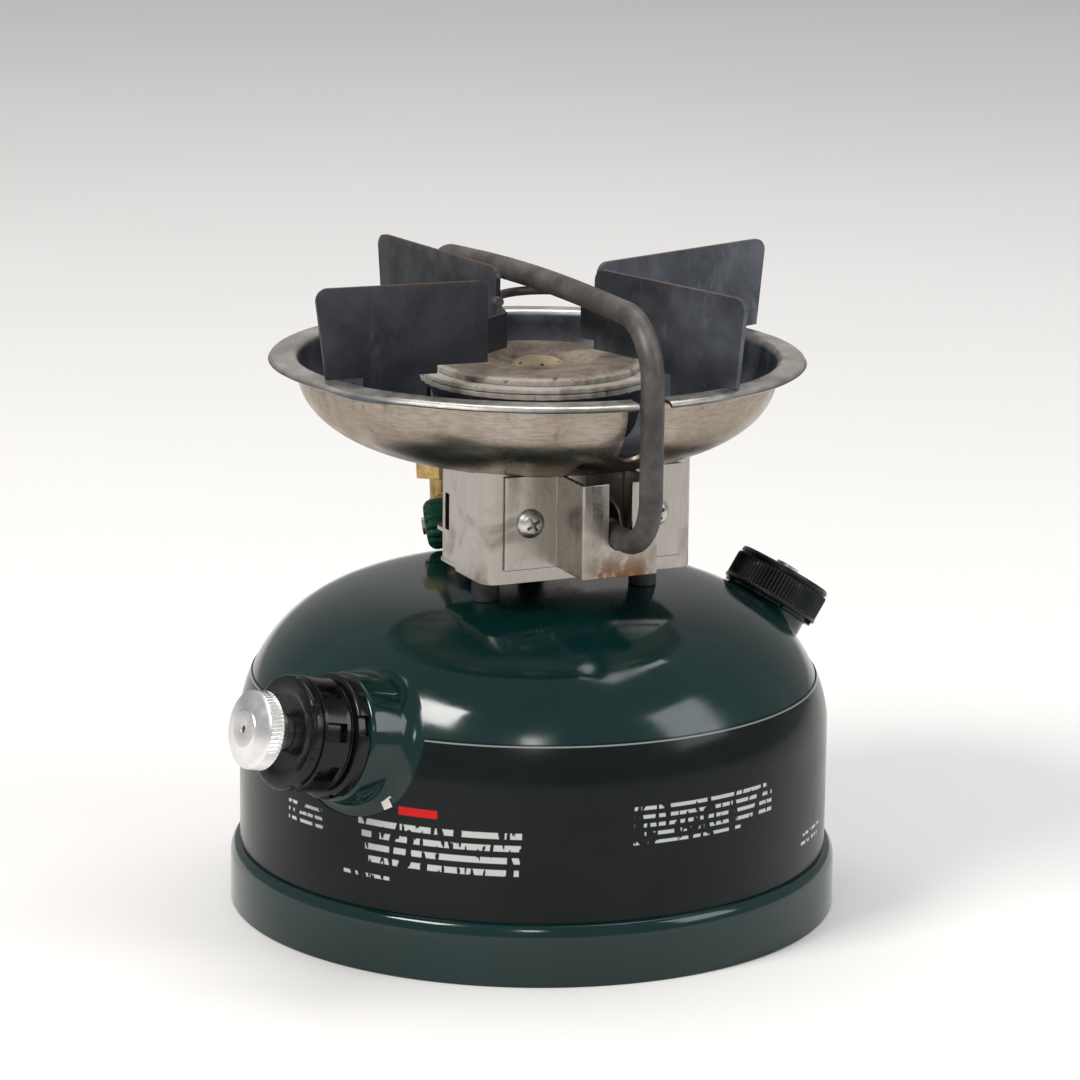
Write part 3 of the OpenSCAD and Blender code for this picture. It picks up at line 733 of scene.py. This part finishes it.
def tank():
    """Tank shell with its openings, base ring, bottom, label wrap and the two flared necks."""
    wall = [(TANK_R, z) for z in range(4, int(DOME_BASE), 3)]
    outer = wall + [dome_point(90 * i / 80) for i in range(81)]
    inner = [dome_point(90 * i / 24, -TANK_WALL) for i in range(24, -1, -1)]
    shell = lathe("tank_shell", outer + inner + [(TANK_R - TANK_WALL, 4)], segments=288)
    cut(shell, [peg(PUMP, COLLAR_BORE_R + 0.1, -30, 20), peg(FILLER, NECK_R - 1.5, -12, 20),
                peg(turned((0, VALVE_Y, 0), 0, 0), VALVE_HOLE_R, 60, 100)])
    settle(shell, "tank_paint", "tank_paint", "fuel_tank")

    ring = lathe("tank_base_ring", soften([
        (TANK_R, BASE_H - 0.1), (TANK_R + 1.5, BASE_H - 0.25, 0.9), (BASE_R, BASE_H - 2.4, 1.6),
        (BASE_R, 0, 0.5), (BASE_R - 1.4, 0, 0.5), (BASE_R - 1.4, 4.8, 0.6), (TANK_R, 6.2)
    ]), segments=288)
    settle(ring, "tank_paint", "tank_paint", "base_ring")

    bottom = lathe("tank_bottom_dish", soften([
        (0, 9), (55, 9, 3), (62, 5.5, 3), (71, 5.5), (71, 8), (63, 8, 3), (56, 10.2, 3), (0, 10.2)
    ]), segments=128)
    settle(bottom, "tank_paint", "tank_paint", "tank_bottom")

    last = dome_angle(LABEL_TOP)
    skin = ([(TANK_R + LABEL_T, z) for z in (BASE_H, 22, 28, 34, 40)]
            + [dome_point(last * i / 12, LABEL_T) for i in range(13)]
            + [dome_point(last * i / 12, 0.02) for i in range(12, -1, -1)]
            + [(TANK_R + 0.02, BASE_H)])
    label = lathe("label_skin", skin, segments=288)
    cut(label, [peg(PUMP, COLLAR_R + 3.1, -30, 30)])
    settle(label, "label_black", "label_black", "label_wrap")

    collar = flared_neck("pump_collar_flared", PUMP, COLLAR_BORE_R, COLLAR_R, COLLAR_TOP, 3.0, 1.2)
    settle(collar, "tank_paint", "tank_paint", "pump_collar")
    neck = flared_neck("filler_neck_flared", FILLER, NECK_R - 1.6, NECK_R, NECK_TOP, 2.0, 0.4)
    settle(neck, "tank_paint", "tank_paint", "filler_neck")


def arrow_mark():
    """Plain arrow printed on the label, pointing up towards the pump."""
    outline = [(-1.2, -2.2), (1.2, -2.2), (1.2, -0.1), (2.1, -0.1), (0, 2.2), (-2.1, -0.1), (-1.2, -0.1)]
    centre = math.radians(-143.4)
    tilt = math.radians(28)
    bm = bmesh.new()
    rings = []
    for lift in (LABEL_T - 0.02, LABEL_T + 0.05):
        ring = []
        for x, z in outline:
            u = x * math.cos(tilt) - z * math.sin(tilt)
            h = x * math.sin(tilt) + z * math.cos(tilt)
            a = centre + u / TANK_R
            r = TANK_R + lift
            ring.append(bm.verts.new((r * math.cos(a), r * math.sin(a), 42.2 + h)))
        rings.append(ring)
    for ring in rings:
        bm.faces.new(ring)
    for i in range(len(outline)):
        n = (i + 1) % len(outline)
        bm.faces.new((rings[0][i], rings[0][n], rings[1][n], rings[1][i]))
    mark = build("label_arrow", bm)
    mark.data.materials.append(FINISHES["white_print"])
    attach(mark, "tank")


# ------------------------------------------------------------------ pump

def pump_cap():
    """Bayonet cap: wide ring at the tank, pocketed barrel, grooved front edge."""
    body, ring, front = PUMP_CAP_R, PUMP_CAP_RING_R, PUMP_CAP_FRONT

    def shape(a, r, z):
        degrees = math.degrees(a) % 45
        if r > body - 0.1 and 8.85 < z < 14.15 and 5 < degrees < 24:
            return r - 1.5
        if r > ring - 0.4 and z < 6.3 and abs((math.degrees(a) - 22.5) % 90 - 45) > 36:
            return r - 1.4
        if r > body - 0.1 and 15.9 < z < 17.6 and 30 < degrees < 42:
            return r - 0.5
        return r

    profile = soften([
        (4.15, front - 0.9, 0.3), (9.2, front - 0.9, 0.5), (9.9, front - 0.1, 0.4),
        (body, front, 1.2), (body, 15.7, 0.15), (13.1, 15.5), (13.1, 15.1), (body, 14.9, 0.15)
    ])
    profile += [(body, z) for z in (14.2, 14.0, 11.5, 9.0, 8.8)]
    profile += soften([
        (body, 8.2, 0.3), (12.7, 7.9, 0.3), (12.7, 6.5, 0.3), (ring, 6.2, 0.8),
        (ring, COLLAR_TOP + 0.05, 0.3)
    ])
    profile += [(9.5, COLLAR_TOP + 0.05), (9.5, front - 3), (4.15, front - 3)]
    cap = lathe("pump_cap_moulded", profile, PUMP, 360, shape=shape)
    settle(cap, "black_plastic", "black_plastic", "pump_cap")


def pump_knob():
    """Turned thumb knob with a slanted knurl and an air hole in its face."""
    radius = PUMP_KNOB_R
    face = extent_along(PUMP, "pump_knob")
    knurl_low, knurl_high = face - 5.3, face - 1.9

    def shape(a, r, z):
        if r > radius - 0.05 and knurl_low + 0.2 < z < knurl_high:
            return r - 0.34 * (0.5 + 0.5 * math.cos(60 * a + (z - knurl_low) * 1.1)) ** 0.8
        return r

    profile = soften([
        (0.8, face - 1.0), (0.8, face, 0.2), (4.4, face, 0.25), (4.7, face - 0.3, 0.15),
        (radius - 0.5, face - 1.5, 0.6), (radius, face - 1.95, 0.2)
    ])
    profile += [(radius, knurl_high - 0.1 - 0.45 * i) for i in range(8)]
    profile += soften([
        (radius, knurl_low, 0.25), (5.4, knurl_low, 0.3), (5.4, PUMP_KNOB_BACK, 0.3),
        (PUMP_ROD_R, PUMP_KNOB_BACK), (PUMP_ROD_R, knurl_low + 1.2), (1.68, knurl_low + 1.2),
        (1.68, face - 1.0)
    ])
    knob = lathe("pump_knob_turned", profile, PUMP, 480, shape=shape, sharp=30)
    settle(knob, "aluminium", "aluminium", "pump_knob")


# ------------------------------------------------------------------ filler cap

def filler_cap():
    """Ribbed cap with a separate-looking top disc and small lugs at its lower edge."""
    radius, bottom, top = FILLER_CAP_R, 1.4, 11.1
    seat_r, seat_top, hub_r, hub_top, screw_r = 10.95, 5.7, 6.2, 9.3, 1.6

    def shape(a, r, z):
        if r > radius - 0.1 and 3.4 < z < 9.1:
            return r - 0.3 * (0.5 + 0.5 * math.cos(80 * a))
        if r > 12.0 and z < 2.4 and (math.degrees(a) + 8) % 60 < 26:
            return r - 1.1
        return r

    profile = soften([
        (screw_r, hub_top), (screw_r, top - 0.4, 0.2), (9.8, top - 0.4, 0.3), (10.4, top, 0.3),
        (11.9, top, 0.5), (12.2, 10.3, 0.2), (12.2, 9.9), (11.8, 9.75), (11.8, 9.55),
        (radius, 9.35, 0.3)
    ])
    profile += [(radius, z) for z in (9.0, 7.5, 6.0, 4.5, 3.5)]
    profile += soften([
        (radius + 0.2, 3.1, 0.2), (radius + 0.2, 2.4, 0.2), (12.2, 2.2), (12.2, bottom, 0.2),
        (seat_r, bottom), (seat_r, seat_top), (hub_r, seat_top), (hub_r, hub_top)
    ])
    cap = lathe("filler_cap_ribbed", profile, FILLER, 480, shape=shape, sharp=34)
    settle(cap, "cap_plastic", "cap_plastic", "filler_cap")


# ------------------------------------------------------------------ valve and generator

def control_knob():
    """Small scalloped knob on the rear valve."""
    radius = CONTROL_KNOB_R

    def shape(a, r, z):
        return r - 0.5 * (0.5 + 0.5 * math.cos(16 * a)) ** 2 if r > radius - 0.8 else r

    profile = soften([
        (1.25, 10.8), (2.6, 11.1, 0.3), (4.9, 12.0, 0.5), (6.0, 11.1, 0.7), (radius, 10.2, 0.5),
        (radius, 6.4, 0.4), (4.3, 6.4), (4.3, 8.8), (1.25, 8.8)
    ])
    knob = lathe("control_knob_moulded", profile, CONTROL, 256, shape=shape)
    settle(knob, "green_plastic", "green_plastic", "control_knob")


def walk(steps, y, z, heading):
    """Centreline in the plane x = 0 from steps of straight length, turn and bend radius."""
    line = [(0, y, z)]
    for straight, turn, bend in steps:
        h = math.radians(heading)
        parts = max(1, round(straight / 2))
        line += [(0, y + straight * math.sin(h) * i / parts, z + straight * math.cos(h) * i / parts)
                 for i in range(1, parts + 1)]
        y, z = line[-1][1:]
        if not turn:
            continue
        side = math.copysign(1, turn)
        cy = y + side * bend * math.cos(h)
        cz = z - side * bend * math.sin(h)
        count = max(24, round(abs(turn) / 3))
        for i in range(1, count + 1):
            a = math.radians(heading + turn * i / count)
            line.append((0, cy - side * bend * math.cos(a), cz + side * bend * math.sin(a)))
        heading += turn
        y, z = line[-1][1:]
    return line


def generator():
    """Generator tube with its nut, the valve that feeds it and the jet at its end."""
    start = OUTLET @ Vector((0, 0, GENERATOR_START))
    line = walk(GENERATOR_ROUTE, start.y, start.z, GENERATOR_LEAN)
    pipe = tube("generator_pipe", line, GENERATOR_R, 36, bore=GENERATOR_BORE_R)
    settle(pipe, "tube_steel", "tube_steel", "generator_tube")
    nut = refined("generator_nut", 0.4)
    settle(nut, "brass", "brass", "generator_nut")
    for node, width in (("valve_body", 0.3), ("packing_nut", 0.25), ("generator_jet", 0.15)):
        settle(refined(node, width), "brass", "brass", node)


# ------------------------------------------------------------------ box

def pan_head(name, place, radius, height):
    """Domed screw head with a cross recess."""
    head = lathe(name, soften([
        (0, 0), (radius, 0, 0.15), (radius, height * 0.35, 0.5), (radius * 0.62, height, 0.8),
        (0, height * 1.04)
    ], steps=6), place, 96, closed=False)
    turn = Matrix.Rotation(math.radians(32), 4, "Z")
    quarter = Matrix.Rotation(math.radians(90), 4, "Z")
    deep = height * 0.25
    cut(head, [bar(place @ turn, radius * 0.52, 0.36, deep, height + 1),
               bar(place @ turn @ quarter, radius * 0.52, 0.36, deep, height + 1),
               peg(place, radius * 0.22, deep, height + 1, 24)], 30)
    return head


def box():
    """Folded sheets of the burner box with their standoffs, mixing tube and screws."""
    for node, width in (("burner_box", 0.3), ("rear_bracket", 0.25), ("generator_bracket", 0.3),
                        ("box_floor", 0.25)):
        settle(refined(node, width), "stainless", "stainless", node)
    settle(refined("box_standoffs", 0.3), "dark_steel", "dark_steel", "box_standoffs")
    settle(refined("mixing_tube", 0.25), "bare_steel", "bare_steel", "mixing_tube")
    low, high = extent("bracket_screws")
    forwards = Matrix.Rotation(math.radians(90), 4, "X")
    for i, x in enumerate((low.x + SCREW_HEAD_R, high.x - SCREW_HEAD_R)):
        seat = (x, low.y + SCREW_HEAD_H, (low.z + high.z) / 2)
        head = pan_head(f"bracket_screw_{i + 1}", Matrix.Translation(seat) @ forwards,
                        SCREW_HEAD_R, SCREW_HEAD_H)
        settle(head, "bare_steel", "bare_steel", "bracket_screws")


# ------------------------------------------------------------------ pan

def bowl_point(t):
    """Outside of the bowl at angle t in degrees, from the rim (0) to the centre (90)."""
    t = math.radians(t)
    return (BOWL_R * math.cos(t) ** BOWL_POWER,
            RIM_Z - PAN_T - BOWL_DEPTH * math.sin(t) ** BOWL_POWER)


def bowl_angle(z):
    """Angle in degrees at which the bowl reaches a height."""
    return math.degrees(math.asin(((RIM_Z - PAN_T - z) / BOWL_DEPTH) ** (1 / BOWL_POWER)))


def notch_half_width(r, z):
    """Half width of the slots at front and back, with round lower ends and rim corners."""
    if z <= NOTCH_LOW or r < 30:
        return 0.0
    up = NOTCH_LOW + NOTCH_HALF - z
    width = NOTCH_HALF if up <= 0 else math.sqrt(NOTCH_HALF ** 2 - up ** 2)
    out = (r - (RIM_R - 2.0)) / 2.0
    if out > 0:
        width += 2.0 * (1 - math.sqrt(max(0.0, 1 - min(1.0, out) ** 2)))
    return width


def drip_pan():
    """Pressed bowl with a rolled lip, slots for the tube at front and back and a knocked edge."""
    turns = {bowl_angle(NOTCH_LOW + NOTCH_HALF * (1 - math.cos(math.radians(9 * i)))) for i in range(11)}
    turns |= {4 + (85.25 - 4) * i / 56 for i in range(57)}
    profile = [bowl_point(t) for t in sorted(turns, reverse=True)]
    under = RIM_Z - PAN_T
    profile += soften([bowl_point(3.2), (BOWL_R + 0.3, under, 1.2), (RIM_R - 2.2, under),
                       (RIM_R - 1.4, under, 0.7), (RIM_R - 0.95, under - 0.75)], steps=6)
    columns = 168
    bm = bmesh.new()
    for mirror in (1, -1):
        rows = []
        for r, z in profile:
            shift = math.degrees(math.asin(notch_half_width(r, z) / r))
            row = []
            for k in range(columns + 1):
                a = math.radians(-90 + shift + (180 - 2 * shift) * k / columns)
                x, y = mirror * r * math.cos(a), r * math.sin(a)
                edge = max(0.0, (r - BOWL_R) / (RIM_R - BOWL_R))
                knock = math.exp(-((math.degrees(math.atan2(y, x)) % 360 - 205) / 7) ** 2)
                sway = noise.noise(Vector((x, y, 0)) * 0.03) * 0.35
                row.append(bm.verts.new((x, y, z - edge * (0.9 * knock + 0.25 + 0.4 * sway))))
            rows.append(row)
        for low, high in zip(rows, rows[1:]):
            for k in range(columns):
                corners = (low[k], low[k + 1], high[k + 1], high[k])
                bm.faces.new(corners[::mirror])
    pan = build("drip_pan_pressed", bm, outward=False)
    sheet = pan.modifiers.new("sheet", "SOLIDIFY")
    sheet.thickness = PAN_T * MM
    sheet.offset = -1.0
    sheet.use_even_offset = True
    sheet.material_offset = 1
    sheet.material_offset_rim = 0
    pan.data.materials.append(FINISHES["pan_outside"])
    pan.data.materials.append(FINISHES["pan_inside"])
    apply_modifiers(pan)
    shade(pan, 40)
    settle(pan, "pan_outside", "stainless", "drip_pan")


# ------------------------------------------------------------------ burner

def burner():
    """Burner cup, the wavy ring stack and the cap plate with its centre holes."""
    cup = lathe("burner_cup", soften([
        (PIPE_R, 112), (13.5, 112, 2), (19.5, 114.4, 2), (24.2, 119, 3), (26, RINGS_Z - 0.9, 0.4),
        (RINGS_R - 0.6, RINGS_Z - 0.9, 0.3), (RINGS_R - 0.6, RINGS_Z), (25.1, RINGS_Z),
        (23.4, 119.8, 3), (19, 115.2, 2), (13.3, 112.9, 2), (PIPE_R, 112.9)
    ]))
    settle(cup, "dark_steel", "dark_steel", "burner_bowl")

    def wavy(a, r, z):
        if r < CAP_R:
            return r
        return r - 0.16 + 0.16 * math.sin(44 * a) + 0.25 * noise.noise(Vector((a * 3, z, 1.7)))

    middle = (RINGS_Z + CAP_Z0) / 2
    rings = lathe("burner_ring_stack", soften([
        (18.5, RINGS_Z), (RINGS_R, RINGS_Z, 0.3), (RINGS_R, middle - 0.1, 0.3), (RINGS_R - 0.9, middle),
        (RINGS_R, middle + 0.1, 0.3), (RINGS_R - 0.2, CAP_Z0, 0.5), (18.5, CAP_Z0)
    ]), segments=360, shape=wavy)
    settle(rings, "burner_steel", "burner_steel", "burner_rings")

    def worn(a, r, z):
        return r + (0.12 * noise.noise(Vector((math.cos(a) * 5, math.sin(a) * 5, z)))
                    + 0.1 * math.sin(52 * a) - 0.1) * max(0.0, (r - 20) / 5)

    top = CAP_Z1
    cap = lathe("burner_cap_plate", soften([
        (0, CAP_Z0 - 0.6), (17.2, CAP_Z0 - 0.6), (17.8, CAP_Z0), (CAP_R, CAP_Z0, 0.3),
        (CAP_R, top - 1.0, 0.5), (CAP_R - 2.4, top - 0.2, 0.9), (CAP_R - 3.6, top, 0.6), (15, top, 2.5),
        (9.4, top - 1.7, 1.6), (6.5, top - 1.7, 0.7), (5.6, top - 0.7, 0.9), (3.4, top - 0.05, 1.2),
        (0, top + 0.1)
    ]), segments=360, shape=worn)
    holes = []
    for k in range(6):
        a = math.radians(60 * k + 17)
        spot = turned((4.6 * math.cos(a), 4.6 * math.sin(a), top - 2.2), math.degrees(a), 35)
        holes.append(peg(spot, 0.5, 0, 4, 20))
    cut(cap, holes)
    settle(cap, "burner_steel", "burner_steel", "burner_cap")


def pot_supports():
    """The two bent pot supports and the wire that links them."""
    for side in ("left", "right"):
        node = side + "_pot_support"
        # Each support takes the blade finish of its side: painted shade on the left one, painted light
        # on the right one.
        settle(refined(node, 0.3), "blade_painted_light_" + side, "dark_steel", node)
    low, high = extent("support_wire")
    points = []
    for k in range(49):
        a = math.radians(-2 + 180 * k / 48)
        points.append((WIRE_CENTRE[0] + WIRE_BEND_R * math.cos(a),
                       WIRE_CENTRE[1] + WIRE_BEND_R * math.sin(a), (low.z + high.z) / 2))
    wire = tube("support_wire_bent", points, WIRE_R, 20)
    settle(wire, "tube_steel", "tube_steel", "support_wire")


tank()
arrow_mark()
pump_cap()
pump_knob()
filler_cap()
control_knob()
generator()
box()
drip_pan()
burner()
pot_supports()


# ------------------------------------------------------------------ studio

CAMERA_AZIMUTH = -25.0
CAMERA_PITCH = 13.3
CAMERA_ROLL = 0.667


def floor():
    """Pale floor that curves up far behind the stove."""
    bm = bmesh.new()
    half, reach, rise = 6.0, 3.5, 4.0
    profile = [(-half, 0.0), (reach, 0.0)]
    for degrees in range(6, 91, 6):
        a = math.radians(degrees)
        profile.append((reach + math.sin(a), 1 - math.cos(a)))
    profile.append((reach + 1, rise))
    rows = [[bm.verts.new((x / MM, y / MM, z / MM)) for x in (-half, half)] for y, z in profile]
    for low, high in zip(rows, rows[1:]):
        bm.faces.new((low[0], low[1], high[1], high[0]))
    sweep = build("studio_sweep", bm, Matrix.Rotation(math.radians(CAMERA_AZIMUTH), 4, "Z"), 60)
    sweep.data.materials.append(studio_floor())


def area_light(name, position, target, width, height, power, tint):
    """Rectangular lamp that faces a target."""
    light = bpy.data.lights.new(name, "AREA")
    light.shape = "RECTANGLE"
    light.size = width
    light.size_y = height
    light.energy = power
    light.color = tint
    obj = bpy.data.objects.new(name, light)
    obj.location = position
    obj.rotation_euler = (Vector(target) - Vector(position)).to_track_quat("-Z", "Y").to_euler()
    bpy.context.scene.collection.objects.link(obj)


def from_camera(right, ahead, up):
    """Point given in metres to the right of, away from and above the stove as the camera sees it."""
    return Matrix.Rotation(math.radians(CAMERA_AZIMUTH), 4, "Z") @ Vector((right, ahead, up))


floor()
middle_of_stove = Vector((0, 0, 0.08))
area_light("key", from_camera(-1.1, -0.9, 1.5), middle_of_stove, 0.7, 0.5, 26, (1.0, 0.98, 0.95))
area_light("fill", from_camera(1.4, -0.5, 0.9), middle_of_stove, 0.7, 0.8, 8, (0.95, 0.97, 1.0))
area_light("top", from_camera(0.1, 0.35, 1.7), middle_of_stove, 1.4, 0.8, 14, (1.0, 1.0, 1.0))
area_light("window", from_camera(0.0, -1.9, 1.25), middle_of_stove, 0.28, 0.34, 4, (1.0, 1.0, 1.0))

world = bpy.data.worlds.new("studio")
world.use_nodes = True
world.node_tree.nodes["Background"].inputs["Color"].default_value = (0.78, 0.8, 0.82, 1)
world.node_tree.nodes["Background"].inputs["Strength"].default_value = 0.5
bpy.context.scene.world = world
bpy.context.scene.view_settings.view_transform = "Standard"

lens = bpy.data.cameras.new("camera")
lens.lens = 150
lens.sensor_width = 36
camera = bpy.data.objects.new("camera", lens)
camera.matrix_world = (Matrix.Translation((-0.4535, -0.9752, 0.3443))
                       @ Matrix.Rotation(math.radians(CAMERA_AZIMUTH), 4, "Z")
                       @ Matrix.Rotation(math.radians(90 - CAMERA_PITCH), 4, "X")
                       @ Matrix.Rotation(math.radians(CAMERA_ROLL), 4, "Z"))
bpy.context.scene.collection.objects.link(camera)
bpy.context.scene.camera = camera
